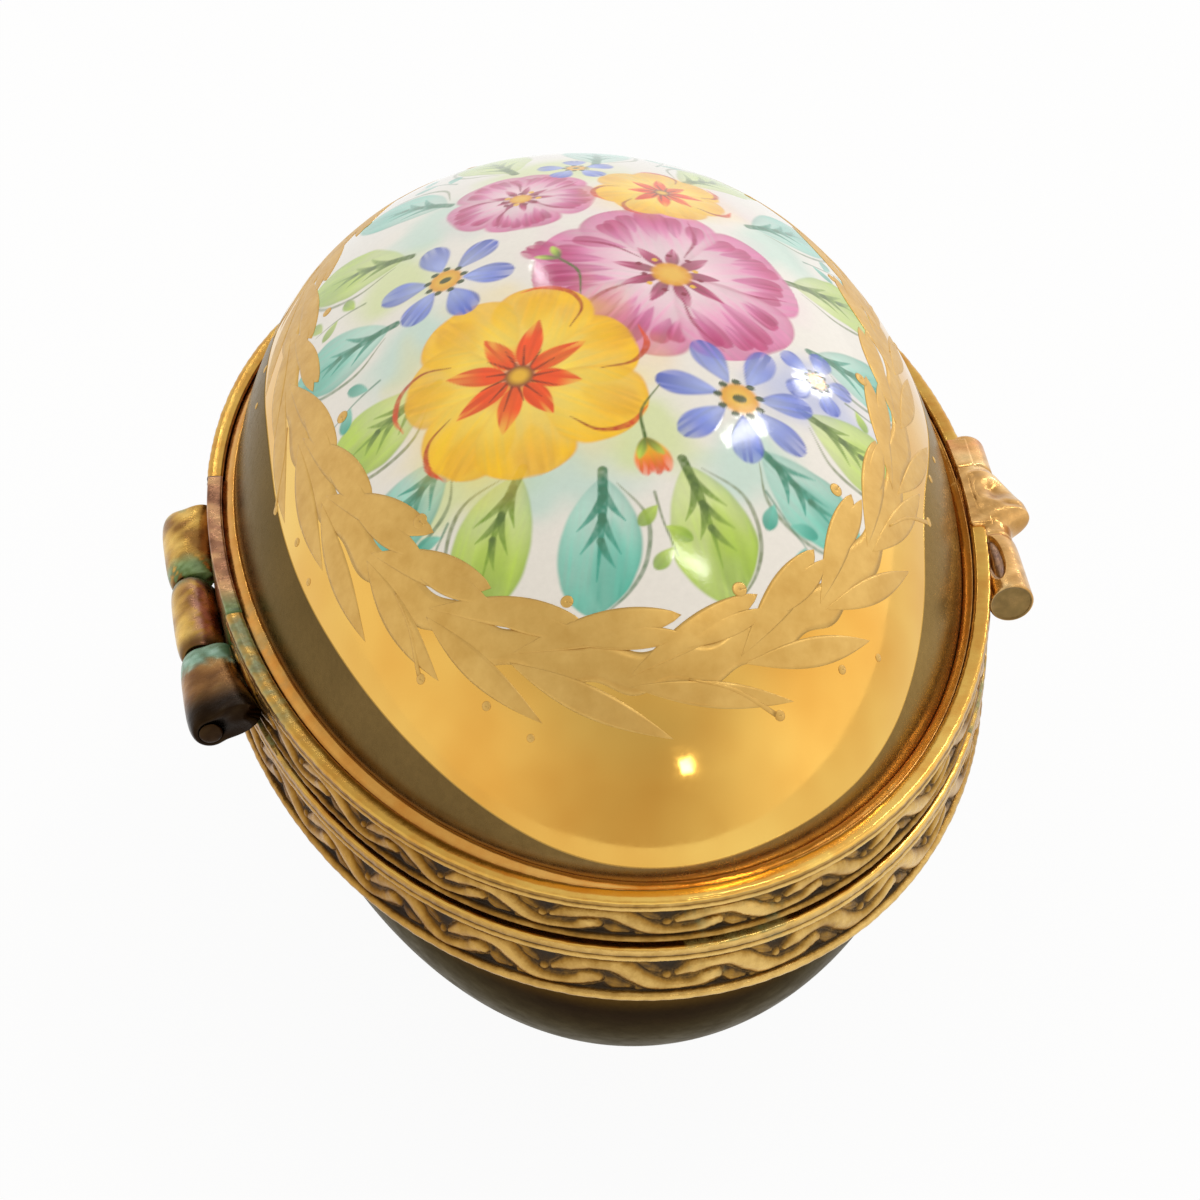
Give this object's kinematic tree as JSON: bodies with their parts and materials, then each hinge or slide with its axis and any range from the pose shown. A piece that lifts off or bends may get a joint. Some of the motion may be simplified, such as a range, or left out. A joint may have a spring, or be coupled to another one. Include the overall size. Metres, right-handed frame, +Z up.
{
  "type": "porcelain egg box on stand",
  "caption": "Egg-shaped porcelain box on its side, with gilt brass mounts, side hinge and clasp, painted flowers on the lid and a small brass ring stand",
  "frame": {"origin": "centre of the object's bounding box in X and Y, on the table plane under the stand", "axes": "+Z up; +Y along the egg towards its blunt end; -X the hinge side; +X the clasp side"},
  "size_m": [0.0476, 0.0632, 0.0471],
  "materials": {
    "painted_porcelain": "glossy white glaze with painted flowers and gold lustre",
    "gilded_porcelain": "gold lustre over glaze, mirror-like",
    "gilded_brass": "gilt, with dark and green patina in the recesses",
    "aged_brass": "browned, with verdigris in the joints",
    "stand_brass": "polished, lightly toned",
    "plaster": "matt"
  },
  "bodies": {
    "stand": {"stand_seat_ring": "stand_brass", "stand_foot_ring": "stand_brass", "stand_post_1": "stand_brass", "stand_post_2": "stand_brass", "stand_post_3": "stand_brass", "stand_post_4": "stand_brass", "stand_post_5": "stand_brass", "stand_post_6": "stand_brass"},
    "base": {"base_shell": "gilded_porcelain", "base_cement": "plaster", "base_collar": "gilded_brass", "base_band": "gilded_brass", "hinge_leaf_base": "aged_brass", "hinge_knuckle_middle": "aged_brass", "hinge_pin": "aged_brass", "catch_nib": "gilded_brass"},
    "lid": {"lid_shell": "painted_porcelain", "lid_cement": "plaster", "lid_collar": "gilded_brass", "lid_band": "gilded_brass", "hinge_leaf_lid": "aged_brass", "hinge_knuckle_far": "aged_brass", "hinge_knuckle_near": "aged_brass", "clasp_boss": "gilded_brass", "clasp_tongue": "aged_brass"}
  },
  "joints": [
    {"name": "base_lift", "type": "slide", "parent": "stand", "child": "base", "axis": [0, 0, 1], "range_m": [0, 0.06]},
    {"name": "lid_hinge", "type": "hinge", "parent": "base", "child": "lid", "pos_m": [-0.02218, -0.00316, 0.0282], "axis": [0.0558, -0.9984, 0], "range_deg": [0, 95]}
  ]
}
